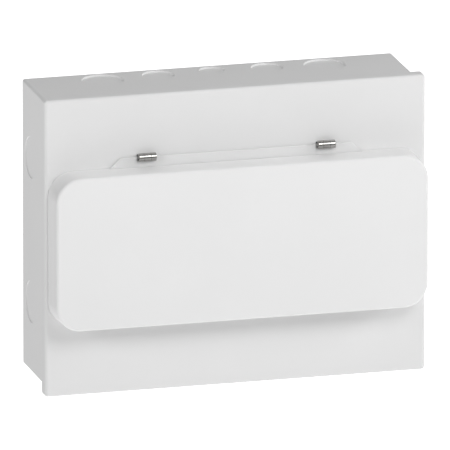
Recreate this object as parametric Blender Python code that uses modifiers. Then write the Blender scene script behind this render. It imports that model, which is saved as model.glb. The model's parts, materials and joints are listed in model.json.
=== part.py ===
"""Breaker panel box: a surface-mounted sheet-metal consumer unit with a top-hinged door.

Metres, +Z up. The origin is the centre of the wall face, the front faces -Y and +X is to the right.
"""

import math

import bmesh
import bpy
from mathutils import Vector

MM = 0.001
GAP = 0.3 * MM

# Sheet-metal body
SHEET = 1.2 * MM
BOX_WIDTH = 298.0 * MM
BOX_HEIGHT = 230.0 * MM
BOX_FRONT = -83.8 * MM
BOX_BEND = 2.0 * MM
COVER_WIDTH = 306.0 * MM
COVER_HEIGHT = 238.5 * MM
COVER_FRONT = -85.4 * MM
COVER_REAR = -74.6 * MM
COVER_BEND = 2.5 * MM

# Cable knockouts: cable size, place across the top, distance of the near edge from the wall
KNOCKOUT_DEPTH = 0.6 * MM
KNOCKOUT_RADIUS = {32: 16.4 * MM, 25: 12.6 * MM, 20: 10.1 * MM}
KNOCKOUT_FROM_WALL = 4.6 * MM
TOP_KNOCKOUTS = [(32, -89.3 * MM), (25, -43.8 * MM), (20, 0.0), (25, 43.8 * MM), (32, 89.3 * MM)]
SIDE_KNOCKOUT_Z = 58.3 * MM
SIDE_KNOCKOUT_FROM_WALL = 26.3 * MM

# Wall fixings in the back
FIXING_X = 125.0 * MM
FIXING_Z = 72.0 * MM
KEYHOLE_HEAD = 5.0 * MM
KEYHOLE_NECK = 2.4 * MM
KEYHOLE_RISE = 10.0 * MM
CORNER_RELIEF = 1.6 * MM

# Door and hinge
DOOR_SHEET = 1.5 * MM
DOOR_FRONT = -108.3 * MM
DOOR_REAR = COVER_FRONT - GAP
DOOR_FACE_WIDTH = 298.4 * MM
DOOR_FACE_HEIGHT = 123.0 * MM
DOOR_RIM_WIDTH = 301.0 * MM
DOOR_RIM_HEIGHT = 123.8 * MM
DOOR_CORNER = 20.0 * MM
DOOR_EDGE = 2.0 * MM
HINGE_Y = COVER_FRONT - 3.7 * MM
HINGE_Z = 69.8 * MM
HINGE_X = 71.9 * MM
BARREL_RADIUS = 3.25 * MM
BARREL_BORE = 1.8 * MM
BARREL_LENGTH = 13.7 * MM
CENTRE_KNUCKLE = 4.9 * MM
PIN_RADIUS = 1.5 * MM
PIN_LENGTH = BARREL_LENGTH + 1.6 * MM
FLANGE_HALF = 100.7 * MM
FLANGE_TOP = HINGE_Z - 0.2 * MM
FLANGE_REAR = COVER_FRONT - 0.5 * MM
FLANGE_CUT_BACK = 2.6 * MM
FLANGE_WELD_LEG = 14.0 * MM
HINGE_PLATE_BELOW = 4.0 * MM
HINGE_PLATE_ABOVE = 8.0 * MM

# Mounting rail and modular devices
MODULE = 17.8 * MM
MODULES = 12
RAIL_FACE = -27.0 * MM
RAIL_HALF_HEIGHT = 17.5 * MM
RAIL_DEPTH = 7.5 * MM
RAIL_SHEET = 1.0 * MM
RAIL_LENGTH = 226.0 * MM
RAIL_FLANGE = 4.0 * MM
RAIL_BRACKET_X = 98.0 * MM
RAIL_BRACKET_WIDTH = 18.0 * MM
RAIL_BRACKET_FOOT_Z = 26.0 * MM
RAIL_BRACKET_HAT_Z = 12.0 * MM
NOSE_FRONT = -87.4 * MM
NOSE_HALF_HEIGHT = 22.3 * MM
SHOULDER = -71.0 * MM
DEVICE_HALF_HEIGHT = 42.5 * MM
WINDOW_HALF_HEIGHT = 22.8 * MM
WINDOW_CLEARANCE = 0.5 * MM
LEVER_Y = -83.6 * MM
LEVER_DRUM = 5.8 * MM
LEVER_REACH = 15.5 * MM
LEVER_REST = math.radians(40.0)
TERMINAL_Y = -51.5 * MM
TERMINAL_DEPTH = 10.0 * MM

# Bars and cover fixings
BAR_Z = 88.0 * MM
BAR_Y = -27.0 * MM
BAR_LENGTH = 96.0 * MM
BAR_PITCH = 10.0 * MM
BAR_X = 60.0 * MM
BAR_HALF_DEPTH = 5.0 * MM
BAR_HALF_HEIGHT = 4.0 * MM
BAR_WIRE_HOLE = 2.3 * MM
BAR_CLAMP_SCREW = 2.4 * MM
BAR_FOOT_HALF_WIDTH = 4.0 * MM
BAR_FOOT_HALF_HEIGHT = 7.0 * MM

# Earth stud and its nut
STUD_FROM_SIDE = 20.0 * MM
STUD_Z = -95.0 * MM
STUD_RADIUS = 2.4 * MM
STUD_LENGTH = 18.0 * MM
STUD_FLANGE_RADIUS = 5.0 * MM
NUT_RADIUS = 4.6 * MM
NUT_HEIGHT = 4.0 * MM
NUT_BORE = 2.75 * MM
COVER_SCREW_X = 131.0 * MM
COVER_SCREW_Z = 45.0 * MM
COVER_BRACKET_HALF = 58.0 * MM
COVER_BRACKET_DEPTH = 25.9 * MM
COVER_BRACKET_TAB = 9.0 * MM

INNER_HALF_WIDTH = BOX_WIDTH / 2 - SHEET
BACK_INNER = -SHEET
COVER_INNER = COVER_FRONT + SHEET


def clear_scene():
    for obj in list(bpy.data.objects):
        bpy.data.objects.remove(obj, do_unlink=True)


def make_collection(name):
    collection = bpy.data.collections.new(name)
    bpy.context.scene.collection.children.link(collection)
    return collection


def make_material(name, colour, roughness, metallic=0.0):
    material = bpy.data.materials.new(name)
    material.use_nodes = True
    shader = material.node_tree.nodes["Principled BSDF"]
    shader.inputs["Base Color"].default_value = (*colour, 1.0)
    shader.inputs["Roughness"].default_value = roughness
    shader.inputs["Metallic"].default_value = metallic
    material.diffuse_color = (*colour, 1.0)
    return material


clear_scene()
PARTS = make_collection("breaker_panel_box")
CUTTERS = make_collection("cutters")
WHITE_COAT = make_material("white_powder_coat", (0.86, 0.86, 0.86), 0.55)
STEEL = make_material("polished_steel", (0.60, 0.60, 0.61), 0.25, 1.0)
ZINC = make_material("zinc_plated_steel", (0.66, 0.67, 0.69), 0.35, 1.0)
BRASS = make_material("brass", (0.78, 0.60, 0.30), 0.30, 1.0)
COPPER = make_material("tinned_copper", (0.80, 0.52, 0.38), 0.35, 1.0)
DEVICE_PLASTIC = make_material("light_grey_plastic", (0.74, 0.75, 0.76), 0.50)
LEVER_PLASTIC = make_material("black_plastic", (0.05, 0.05, 0.055), 0.40)
RED_PLASTIC = make_material("red_plastic", (0.55, 0.04, 0.03), 0.40)
YELLOW_PLASTIC = make_material("yellow_plastic", (0.80, 0.60, 0.05), 0.40)
HOLDER_PLASTIC = make_material("blue_grey_plastic", (0.24, 0.32, 0.44), 0.50)
SHROUD_PLASTIC = make_material("grey_plastic", (0.36, 0.37, 0.39), 0.55)


def place(name, mesh, location=(0.0, 0.0, 0.0), rotation=(0.0, 0.0, 0.0), material=None):
    """A new object in the parts collection."""
    obj = bpy.data.objects.new(name, mesh)
    obj.location = location
    obj.rotation_euler = rotation
    PARTS.objects.link(obj)
    if material:
        mesh.materials.clear()
        mesh.materials.append(material)
    return obj


def mesh_of(bm, name):
    mesh = bpy.data.meshes.new(name)
    bm.to_mesh(mesh)
    bm.free()
    return mesh


def block(name, low, high, material=None):
    """A box between two corners, with its origin at its centre."""
    low, high = Vector(low), Vector(high)
    bm = bmesh.new()
    bmesh.ops.create_cube(bm, size=1.0)
    bmesh.ops.scale(bm, vec=high - low, verts=bm.verts)
    return place(name, mesh_of(bm, name), (low + high) / 2, material=material)


# Rotations that turn a cylinder's own Z axis onto X, Y or Z.
ALONG = {"X": (0.0, math.pi / 2, 0.0), "Y": (math.pi / 2, 0.0, 0.0), "Z": (0.0, 0.0, 0.0)}


def rod(name, radius, length, centre, axis, segments=16, material=None):
    bm = bmesh.new()
    bmesh.ops.create_cone(
        bm, cap_ends=True, segments=segments, radius1=radius, radius2=radius, depth=length
    )
    return place(name, mesh_of(bm, name), centre, ALONG[axis], material)


def evaluated_mesh(obj):
    graph = bpy.context.evaluated_depsgraph_get()
    return bpy.data.meshes.new_from_object(obj.evaluated_get(graph))


def outline(name, points, thickness, location, rotation, material=None):
    """A flat outline given thickness about its own plane, as a closed mesh."""
    curve = bpy.data.curves.new(name, "CURVE")
    curve.dimensions = "2D"
    curve.fill_mode = "BOTH"
    curve.extrude = thickness / 2
    spline = curve.splines.new("POLY")
    spline.points.add(len(points) - 1)
    for point, (x, y) in zip(spline.points, points):
        point.co = (x, y, 0.0, 1.0)
    spline.use_cyclic_u = True
    guide = bpy.data.objects.new(name + "_outline", curve)
    PARTS.objects.link(guide)
    mesh = evaluated_mesh(guide)
    bpy.data.objects.remove(guide)
    bpy.data.curves.remove(curve)
    bm = bmesh.new()
    bm.from_mesh(mesh)
    bmesh.ops.remove_doubles(bm, verts=bm.verts, dist=1e-6)
    bmesh.ops.recalc_face_normals(bm, faces=bm.faces)
    bm.to_mesh(mesh)
    bm.free()
    return place(name, mesh, location, rotation, material)


def side_profile(name, points, width, x, material=None):
    """A (y, z) outline swept along X, centred on x."""
    rotation = (math.pi / 2, 0.0, math.pi / 2)
    return outline(name, points, width, (x, 0.0, 0.0), rotation, material)


def front_profile(name, points, low_y, high_y, material=None):
    """An (x, z) outline that is as thick as from low_y to high_y."""
    rotation = (math.pi / 2, 0.0, 0.0)
    location = (0.0, (low_y + high_y) / 2, 0.0)
    return outline(name, points, high_y - low_y, location, rotation, material)


def combine(obj, other, operation):
    """Booleans other into obj, and files it with the cutters."""
    modifier = obj.modifiers.new(other.name, "BOOLEAN")
    modifier.operation = operation
    modifier.object = other
    modifier.solver = "EXACT"
    PARTS.objects.unlink(other)
    CUTTERS.objects.link(other)
    other.hide_render = True
    other.display_type = "WIRE"


def cut(obj, other):
    combine(obj, other, "DIFFERENCE")


def join(obj, other):
    combine(obj, other, "UNION")


def freeze(obj):
    """Turns the object's modifiers into its mesh, so that copies of it can be placed elsewhere."""
    mesh = evaluated_mesh(obj)
    cutters = [m.object for m in obj.modifiers if m.type == "BOOLEAN"]
    obj.modifiers.clear()
    obj.data = mesh
    for cutter in cutters:
        bpy.data.objects.remove(cutter)
    return obj


def smooth_by_angle(obj):
    """Shades a round piece smooth, and keeps its edges sharp."""
    for face in obj.data.polygons:
        face.use_smooth = True
    obj.data.set_sharp_from_angle(angle=math.radians(35.0))


def axis_empty(name, location):
    empty = bpy.data.objects.new(name, None)
    empty.empty_display_size = 10 * MM
    empty.location = location
    PARTS.objects.link(empty)
    return empty


def hang_on(empty, objects):
    """Parents the objects to an empty without moving them."""
    for obj in objects:
        obj.parent = empty
        obj.location = obj.location - empty.location


def open_pan(name, size, centre, open_towards, bend, thickness, material):
    """A folded tray: a box with one Y face missing, its folds rounded, and the sheet's thickness."""
    bm = bmesh.new()
    bmesh.ops.create_cube(bm, size=1.0)
    bmesh.ops.scale(bm, vec=Vector(size), verts=bm.verts)
    faces = [f for f in bm.faces if f.normal.y * open_towards > 0.9]
    bmesh.ops.delete(bm, geom=faces, context="FACES_ONLY")
    folds = [e for e in bm.edges if not e.is_boundary]
    bmesh.ops.bevel(
        bm, geom=folds, offset=bend, segments=4, profile=0.5, affect="EDGES", clamp_overlap=True
    )
    obj = place(name, mesh_of(bm, name), centre, material=material)
    add_sheet(obj, thickness)
    return obj


def add_sheet(obj, thickness):
    solidify = obj.modifiers.new("sheet", "SOLIDIFY")
    solidify.thickness = thickness
    solidify.offset = -1.0
    solidify.use_even_offset = True
    smooth_by_angle(obj)


def cut_knockout(obj, name, size, centre, axis):
    radius = KNOCKOUT_RADIUS[size]
    segments = {32: 24, 25: 20, 20: 16}[size]
    cut(obj, rod(name, radius, 2 * KNOCKOUT_DEPTH, centre, axis, segments))


def back_box():
    centre = (0.0, BOX_FRONT / 2, 0.0)
    size = (BOX_WIDTH, -BOX_FRONT, BOX_HEIGHT)
    box = open_pan("back_box", size, centre, -1, BOX_BEND, SHEET, WHITE_COAT)
    for end, side in (("top", 1), ("bottom", -1)):
        for index, (cable, x) in enumerate(TOP_KNOCKOUTS):
            y = -KNOCKOUT_FROM_WALL - KNOCKOUT_RADIUS[cable]
            place_z = side * BOX_HEIGHT / 2
            cut_knockout(box, f"{end}_knockout_{index}", cable, (x, y, place_z), "Z")
    for end, side in (("left", -1), ("right", 1)):
        for row in (-1, 1):
            at = (side * BOX_WIDTH / 2, -SIDE_KNOCKOUT_FROM_WALL, row * SIDE_KNOCKOUT_Z)
            cut_knockout(box, f"{end}_knockout_{row}", 32, at, "X")
    for side in (-1, 1):
        for row in (-1, 1):
            x, z = side * FIXING_X, row * FIXING_Z
            cut(box, rod(f"keyhole_head_{side}_{row}", KEYHOLE_HEAD, 6 * MM, (x, 0.0, z), "Y", 12))
            low = (x - KEYHOLE_NECK, -3 * MM, z)
            high = (x + KEYHOLE_NECK, 3 * MM, z + KEYHOLE_RISE)
            cut(box, block(f"keyhole_neck_{side}_{row}", low, high))
            corner = Vector((side * BOX_WIDTH / 2, 0.0, row * BOX_HEIGHT / 2))
            relief = Vector((CORNER_RELIEF, CORNER_RELIEF, CORNER_RELIEF))
            cut(box, block(f"corner_relief_{side}_{row}", corner - relief, corner + relief))
    return box


def front_cover():
    depth = COVER_REAR - COVER_FRONT
    centre = (0.0, (COVER_REAR + COVER_FRONT) / 2, 0.0)
    size = (COVER_WIDTH, depth, COVER_HEIGHT)
    cover = open_pan("front_cover", size, centre, 1, COVER_BEND, SHEET, WHITE_COAT)
    window_x = MODULES * MODULE / 2 + WINDOW_CLEARANCE
    low = (-window_x, COVER_FRONT - MM, -WINDOW_HALF_HEIGHT)
    high = (window_x, COVER_INNER + MM, WINDOW_HALF_HEIGHT)
    cut(cover, block("window", low, high))
    for side in (-1, 1):
        slot_x = BARREL_LENGTH / 2 + 0.5 * MM
        low = (side * HINGE_X - slot_x, COVER_FRONT - MM, HINGE_Z - 0.3 * MM)
        high = (side * HINGE_X + slot_x, COVER_INNER + MM, HINGE_Z + 1.7 * MM)
        cut(cover, block(f"hinge_slot_{side}", low, high))
        for row in (-1, 1):
            at = (side * COVER_SCREW_X, COVER_FRONT, row * COVER_SCREW_Z)
            cut(cover, rod(f"screw_hole_{side}_{row}", 2.6 * MM, 6 * MM, at, "Y", 12))
    return cover


def door():
    """The drawn door shell: a rounded rectangle that tapers a little towards its face."""
    depth = DOOR_REAR - DOOR_FRONT
    bm = bmesh.new()
    bmesh.ops.create_cube(bm, size=1.0)
    bmesh.ops.scale(bm, vec=(DOOR_RIM_WIDTH, depth, DOOR_RIM_HEIGHT), verts=bm.verts)
    along_y = [e for e in bm.edges if abs(e.verts[0].co.y - e.verts[1].co.y) > depth / 2]
    bmesh.ops.bevel(
        bm, geom=along_y, offset=DOOR_CORNER, segments=8, profile=0.5, affect="EDGES"
    )
    rear = [f for f in bm.faces if f.normal.y > 0.9]
    bmesh.ops.delete(bm, geom=rear, context="FACES_ONLY")
    face_verts = [v for v in bm.verts if v.co.y < 0.0]
    taper = (DOOR_FACE_WIDTH / DOOR_RIM_WIDTH, 1.0, DOOR_FACE_HEIGHT / DOOR_RIM_HEIGHT)
    bmesh.ops.scale(bm, vec=taper, verts=face_verts)
    rim = [e for e in bm.edges if all(v.co.y < 0.0 for v in e.verts)]
    bmesh.ops.bevel(bm, geom=rim, offset=DOOR_EDGE, segments=4, profile=0.5, affect="EDGES")
    centre = (0.0, (DOOR_REAR + DOOR_FRONT) / 2, 0.0)
    shell = place("door", mesh_of(bm, "door"), centre, material=WHITE_COAT)
    add_sheet(shell, DOOR_SHEET)
    half = FLANGE_HALF + 0.9 * MM
    low = (-half, DOOR_REAR - FLANGE_CUT_BACK, DOOR_RIM_HEIGHT / 2 - 5 * MM)
    high = (half, DOOR_REAR + MM, DOOR_RIM_HEIGHT / 2 + 3 * MM)
    cut(shell, block("flange_gap", low, high))
    return shell


def door_hinge_flange():
    """The angle inside the door's top wall, whose upright leg reaches the hinge barrels."""
    under_wall = DOOR_RIM_HEIGHT / 2 - DOOR_SHEET - 0.5 * MM
    chamfer = FLANGE_TOP - DOOR_RIM_HEIGHT / 2
    notch = BARREL_LENGTH / 2 + 0.6 * MM
    notch_z = HINGE_Z - 3.3 * MM
    right = [(HINGE_X - notch, FLANGE_TOP), (HINGE_X - notch, notch_z)]
    right += [(HINGE_X + notch, notch_z), (HINGE_X + notch, FLANGE_TOP)]
    right += [(FLANGE_HALF - chamfer, FLANGE_TOP), (FLANGE_HALF, FLANGE_TOP - chamfer)]
    right += [(FLANGE_HALF, under_wall - SHEET)]
    left = [(-x, z) for x, z in reversed(right)]
    flange = front_profile(
        "door_hinge_flange", right + left, FLANGE_REAR - SHEET, FLANGE_REAR, WHITE_COAT
    )
    low = (-FLANGE_HALF, FLANGE_REAR - FLANGE_WELD_LEG, under_wall - SHEET)
    high = (FLANGE_HALF, FLANGE_REAR - SHEET / 2, under_wall)
    join(flange, block("weld_leg", low, high))
    return flange


def tube(name, radius, bore, length, centre, material, segments=20):
    outer = rod(name, radius, length, centre, "X", segments, material)
    cut(outer, rod(name + "_bore", bore, length + 4 * MM, centre, "X", 12))
    smooth_by_angle(outer)
    return outer


def hinge(side):
    """One hinge: a bracket with two knuckles through the cover, a knuckle on the door, and the pin."""
    end = "left" if side < 0 else "right"
    x = side * HINGE_X
    outer_length = (BARREL_LENGTH - CENTRE_KNUCKLE) / 2 - GAP
    offset = (BARREL_LENGTH - outer_length) / 2
    low = (x - BARREL_LENGTH / 2, COVER_INNER + GAP, HINGE_Z - HINGE_PLATE_BELOW)
    high = (x + BARREL_LENGTH / 2, COVER_INNER + GAP + SHEET, HINGE_Z + HINGE_PLATE_ABOVE)
    bracket = block(f"hinge_bracket_{end}", low, high, STEEL)
    for way in (-1, 1):
        knuckle_x = x + way * offset
        low = (knuckle_x - outer_length / 2 + 0.1 * MM, HINGE_Y + 2.2 * MM, HINGE_Z + 0.1 * MM)
        high = (knuckle_x + outer_length / 2 - 0.1 * MM, COVER_INNER + SHEET, HINGE_Z + 1.3 * MM)
        leg = block(f"hinge_leg_{end}_{way}", low, high)
        knuckle = rod(
            f"knuckle_{end}_{way}", BARREL_RADIUS, outer_length, (knuckle_x, HINGE_Y, HINGE_Z), "X", 20
        )
        join(bracket, leg)
        join(bracket, knuckle)
    bore = rod(f"bracket_bore_{end}", BARREL_BORE, 30 * MM, (x, HINGE_Y, HINGE_Z), "X", 12)
    cut(bracket, bore)
    centre = (x, HINGE_Y, HINGE_Z)
    knuckle = tube(f"hinge_knuckle_{end}", BARREL_RADIUS, BARREL_BORE, CENTRE_KNUCKLE, centre, STEEL)
    rod(f"hinge_pin_{end}", PIN_RADIUS, PIN_LENGTH, centre, "X", 12, STEEL)
    return knuckle


def screw(name, head_radius, head_height, shank_radius, length, head_face, material=ZINC):
    """A slotted pan-head screw along Y, whose head bears on the plane through head_face."""
    x, y, z = head_face
    bm = bmesh.new()
    profile = [(0.0, -head_height), (0.75 * head_radius, -head_height)]
    profile += [(head_radius, -0.45 * head_height), (head_radius, 0.0), (shank_radius, 0.0)]
    profile += [(shank_radius, length), (0.0, length)]
    verts = [bm.verts.new((radius, 0.0, -along)) for radius, along in profile]
    for first, second in zip(verts, verts[1:]):
        bm.edges.new((first, second))
    obj = place(name, mesh_of(bm, name), head_face, ALONG["Y"], material)
    turn = obj.modifiers.new("turn", "SCREW")
    turn.steps = 14
    turn.render_steps = 14
    turn.use_merge_vertices = True
    turn.merge_threshold = 0.00005
    turn.use_smooth_shade = True
    low = (x - 0.5 * MM, y - head_height - MM, z - head_radius - MM)
    high = (x + 0.5 * MM, y - head_height * 0.45, z + head_radius + MM)
    cut(obj, block(name + "_slot", low, high))
    return obj


def cover_fixings():
    """The two angles on the side walls and the four screws that hold the cover on them."""
    for side, end in ((-1, "left"), (1, "right")):
        outer = side * (INNER_HALF_WIDTH - GAP)
        inner = side * (COVER_SCREW_X - COVER_BRACKET_TAB)
        tab_front = COVER_INNER + GAP
        wall_leg = sorted((outer, outer - side * SHEET))
        tab = sorted((outer, inner))
        bracket = block(
            f"cover_bracket_{end}",
            (wall_leg[0], tab_front, -COVER_BRACKET_HALF),
            (wall_leg[1], tab_front + COVER_BRACKET_DEPTH, COVER_BRACKET_HALF),
            ZINC,
        )
        front = block(
            f"bracket_tab_{end}",
            (tab[0], tab_front, 0.1 * MM - COVER_BRACKET_HALF),
            (tab[1], tab_front + SHEET, COVER_BRACKET_HALF - 0.1 * MM),
        )
        join(bracket, front)
        for row, height in ((-1, "bottom"), (1, "top")):
            at = (side * COVER_SCREW_X, COVER_FRONT - GAP, row * COVER_SCREW_Z)
            cut(bracket, rod(f"bracket_hole_{end}_{height}", 2.5 * MM, 12 * MM, at, "Y", 12))
            screw(f"cover_screw_{height}_{end}", 4.2 * MM, 2.6 * MM, 1.9 * MM, 9 * MM, at)


def mounting_rail():
    """The top-hat rail, its two stand-offs and their screws."""
    half, depth, sheet = RAIL_HALF_HEIGHT, RAIL_DEPTH, RAIL_SHEET
    wall = half - RAIL_FLANGE
    face, web = RAIL_FACE, RAIL_FACE + depth
    upper = [(face, half), (face + sheet, half), (face + sheet, wall), (web, wall)]
    lower = [(y, -z) for y, z in reversed(upper)]
    inside = [(face, -wall + sheet), (web - sheet, -wall + sheet)]
    inside += [(web - sheet, wall - sheet), (face, wall - sheet)]
    rail = side_profile("din_rail", upper + lower + inside, RAIL_LENGTH, 0.0, ZINC)
    top = web + GAP
    foot = BACK_INNER - GAP
    for side, end in ((-1, "left"), (1, "right")):
        x = side * RAIL_BRACKET_X
        thick = 1.5 * sheet
        hat = [(foot, RAIL_BRACKET_FOOT_Z), (foot - thick, RAIL_BRACKET_FOOT_Z)]
        hat += [(foot - thick, RAIL_BRACKET_HAT_Z), (top, RAIL_BRACKET_HAT_Z)]
        inside = [(top + thick, RAIL_BRACKET_HAT_Z - thick), (foot, RAIL_BRACKET_HAT_Z - thick)]
        points = hat + [(y, -z) for y, z in reversed(hat)]
        points += [(y, -z) for y, z in reversed(inside)] + inside
        bracket = side_profile(f"rail_bracket_{end}", points, RAIL_BRACKET_WIDTH, x, ZINC)
        seat = (x, web - sheet - GAP, 0.0)
        cut(rail, rod(f"rail_hole_{end}", 2.5 * MM, 12 * MM, seat, "Y", 12))
        cut(bracket, rod(f"bracket_hole_{end}", 2.5 * MM, 12 * MM, seat, "Y", 12))
        screw(f"rail_screw_{end}", 3.8 * MM, 2.2 * MM, 1.9 * MM, 8 * MM, seat)


def device_body(name, modules, x, lever_width, material=DEVICE_PLASTIC):
    """A modular device: rail hooks, two shoulders and a nose, with its lever slot and terminals."""
    hook = RAIL_HALF_HEIGHT + 0.3 * MM
    lip = RAIL_HALF_HEIGHT - 2.0 * MM
    behind = RAIL_FACE + RAIL_SHEET + GAP
    rear = RAIL_FACE + 3.6 * MM
    upper = [(NOSE_FRONT, NOSE_HALF_HEIGHT), (SHOULDER, NOSE_HALF_HEIGHT)]
    upper += [(SHOULDER, DEVICE_HALF_HEIGHT), (-32 * MM, DEVICE_HALF_HEIGHT), (-32 * MM, 36 * MM)]
    upper += [(rear, 36 * MM), (rear, lip), (behind, lip), (behind, hook), (RAIL_FACE - GAP, hook)]
    points = upper + [(y, -z) for y, z in reversed(upper)]
    body = side_profile(name, points, modules * MODULE - GAP, x, material)
    slot = (lever_width / 2 + 0.5 * MM, 9 * MM)
    low = (x - slot[0], NOSE_FRONT - MM, -slot[1])
    high = (x + slot[0], LEVER_Y + LEVER_DRUM + 0.6 * MM, slot[1])
    cut(body, block(name + "_slot", low, high))
    for module in range(modules):
        terminal_x = x + (module - (modules - 1) / 2) * MODULE
        for row in (-1, 1):
            low_z, high_z = sorted(
                (row * (DEVICE_HALF_HEIGHT - TERMINAL_DEPTH), row * (DEVICE_HALF_HEIGHT + MM))
            )
            low = (terminal_x - 4 * MM, TERMINAL_Y - 4.5 * MM, low_z)
            high = (terminal_x + 4 * MM, TERMINAL_Y + 4.5 * MM, high_z)
            cut(body, block(f"{name}_terminal_{module}_{row}", low, high))
            at = (terminal_x, SHOULDER, row * 33 * MM)
            cut(body, rod(f"{name}_screw_{module}_{row}", 3 * MM, 12 * MM, at, "Y", 10))
    return body


def device_lever(name, width, x, material):
    """A lever on its drum, turned down to its off position. Its origin is on its axis."""
    axis = (x, LEVER_Y, 0.0)
    drum = rod(name, LEVER_DRUM, width, axis, "X", 16, material)
    inner, outer = 2.0 * MM, 1.3 * MM
    root = LEVER_DRUM - 2.0 * MM
    level = [(-root, inner), (-LEVER_REACH, outer), (-LEVER_REACH, -outer), (-root, -inner)]
    sine, cosine = math.sin(LEVER_REST), math.cos(LEVER_REST)
    turned = [(y * cosine - z * sine, y * sine + z * cosine) for y, z in level]
    points = [(LEVER_Y + y, z) for y, z in turned]
    paddle = side_profile(name + "_paddle", points, width - 0.2 * MM, x)
    join(drum, paddle)
    smooth_by_angle(drum)
    return drum


def copy_along(obj, names, step):
    """Places copies of a frozen object along X."""
    for index, name in enumerate(names, start=1):
        location = obj.location + Vector((index * step, 0.0, 0.0))
        place(name, obj.data, location, obj.rotation_euler)


def breakers():
    """Eight single-module breakers, a residual-current switch and the main switch."""
    first_x = -MODULES * MODULE / 2 + MODULE / 2
    body = freeze(device_body("breaker_1", 1, first_x, 6.5 * MM))
    copy_along(body, [f"breaker_{n}" for n in range(2, 9)], MODULE)
    lever = freeze(device_lever("breaker_lever_1", 6.5 * MM, first_x, LEVER_PLASTIC))
    copy_along(lever, [f"breaker_lever_{n}" for n in range(2, 9)], MODULE)
    rcd_x = first_x + 8.5 * MODULE
    rcd = device_body("rcd", 2, rcd_x, 6.5 * MM)
    button_x = rcd_x + 11 * MM
    low = (button_x - 3.4 * MM, NOSE_FRONT - MM, -3.4 * MM)
    high = (button_x + 3.4 * MM, NOSE_FRONT + 6 * MM, 3.4 * MM)
    cut(rcd, block("test_button_slot", low, high))
    device_lever("rcd_lever", 6.5 * MM, rcd_x, LEVER_PLASTIC)
    low = (button_x - 3 * MM, NOSE_FRONT - 1.8 * MM, -3 * MM)
    high = (button_x + 3 * MM, NOSE_FRONT + 3.8 * MM, 3 * MM)
    block("rcd_test_button", low, high, YELLOW_PLASTIC)
    switch_x = first_x + 10.5 * MODULE
    device_body("main_switch", 2, switch_x, 18 * MM)
    device_lever("main_switch_lever", 18 * MM, switch_x, RED_PLASTIC)


def busbar():
    """The comb under the breakers, with one tooth for each, and the plastic channel over it."""
    first_x = -MODULES * MODULE / 2 + MODULE / 2
    low_z, root_z, tip_z = -58 * MM, -46 * MM, -37 * MM
    start, end = first_x - 5 * MM, first_x + 8 * MODULE + 5 * MM
    points = [(start, low_z), (end, low_z), (end, root_z)]
    for index in reversed(range(9)):
        x = first_x + index * MODULE
        tooth = [(x + 2 * MM, root_z), (x + 2 * MM, tip_z), (x - 2 * MM, tip_z), (x - 2 * MM, root_z)]
        points += tooth
    points.append((start, root_z))
    half = 1.2 * MM
    front_profile("busbar_comb", points, TERMINAL_Y - half, TERMINAL_Y + half, COPPER)
    inner, outer = half + 0.4 * MM, half + 2.0 * MM
    channel = [(TERMINAL_Y - outer, -47 * MM), (TERMINAL_Y - outer, -60.4 * MM)]
    channel += [(TERMINAL_Y + outer, -60.4 * MM), (TERMINAL_Y + outer, -47 * MM)]
    channel += [(TERMINAL_Y + inner, -47 * MM), (TERMINAL_Y + inner, -58.5 * MM)]
    channel += [(TERMINAL_Y - inner, -58.5 * MM), (TERMINAL_Y - inner, -47 * MM)]
    middle = (start + end) / 2
    side_profile("busbar_shroud", channel, end - start + 4 * MM, middle, SHROUD_PLASTIC)


def terminal_bar(kind, x, metal, holder_material):
    """A bar with a cross hole and a clamp screw for each wire, on two stand-offs."""
    half = BAR_LENGTH / 2
    low = (x - half, BAR_Y - BAR_HALF_DEPTH, BAR_Z - BAR_HALF_HEIGHT)
    high = (x + half, BAR_Y + BAR_HALF_DEPTH, BAR_Z + BAR_HALF_HEIGHT)
    bar = block(f"{kind}_bar", low, high, metal)
    count = round(BAR_LENGTH / BAR_PITCH) - 1
    for index in range(count):
        wire_x = x + (index - (count - 1) / 2) * BAR_PITCH
        at = (wire_x, BAR_Y + 1.5 * MM, BAR_Z)
        cut(bar, rod(f"{kind}_wire_hole_{index}", BAR_WIRE_HOLE, 12 * MM, at, "Z", 8))
        head = (wire_x, BAR_Y - BAR_HALF_DEPTH, BAR_Z)
        join(bar, rod(f"{kind}_clamp_screw_{index}", BAR_CLAMP_SCREW, 3 * MM, head, "Y", 8))
    for side, end in ((-1, "left"), (1, "right")):
        foot_x = x + side * (half - BAR_FOOT_HALF_WIDTH)
        foot_front = BAR_Y + BAR_HALF_DEPTH + GAP
        low = (foot_x - BAR_FOOT_HALF_WIDTH, foot_front, BAR_Z - BAR_FOOT_HALF_HEIGHT)
        high = (foot_x + BAR_FOOT_HALF_WIDTH, BACK_INNER - GAP, BAR_Z + BAR_FOOT_HALF_HEIGHT)
        block(f"{kind}_bar_foot_{end}", low, high, holder_material)


def earth_stud():
    at = (-INNER_HALF_WIDTH + STUD_FROM_SIDE, BACK_INNER - GAP, STUD_Z)
    centre = (at[0], at[1] - STUD_LENGTH / 2, at[2])
    stud = rod("earth_stud", STUD_RADIUS, STUD_LENGTH, centre, "Y", 12, ZINC)
    flange = rod("stud_flange", STUD_FLANGE_RADIUS, 2 * MM, (at[0], at[1] - MM, at[2]), "Y", 16)
    join(stud, flange)
    nut_centre = (at[0], at[1] - 6 * MM, at[2])
    nut = rod("earth_nut", NUT_RADIUS, NUT_HEIGHT, nut_centre, "Y", 6, ZINC)
    cut(nut, rod("nut_bore", NUT_BORE, 8 * MM, nut_centre, "Y", 12))


def build():
    back_box()
    front_cover()
    pivot = axis_empty("door_axis", (0.0, HINGE_Y, HINGE_Z))
    moving = [door(), door_hinge_flange(), hinge(-1), hinge(1)]
    hang_on(pivot, moving)
    cover_fixings()
    mounting_rail()
    breakers()
    busbar()
    terminal_bar("neutral", BAR_X, BRASS, HOLDER_PLASTIC)
    terminal_bar("earth", -BAR_X, BRASS, ZINC)
    earth_stud()


build()
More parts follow.
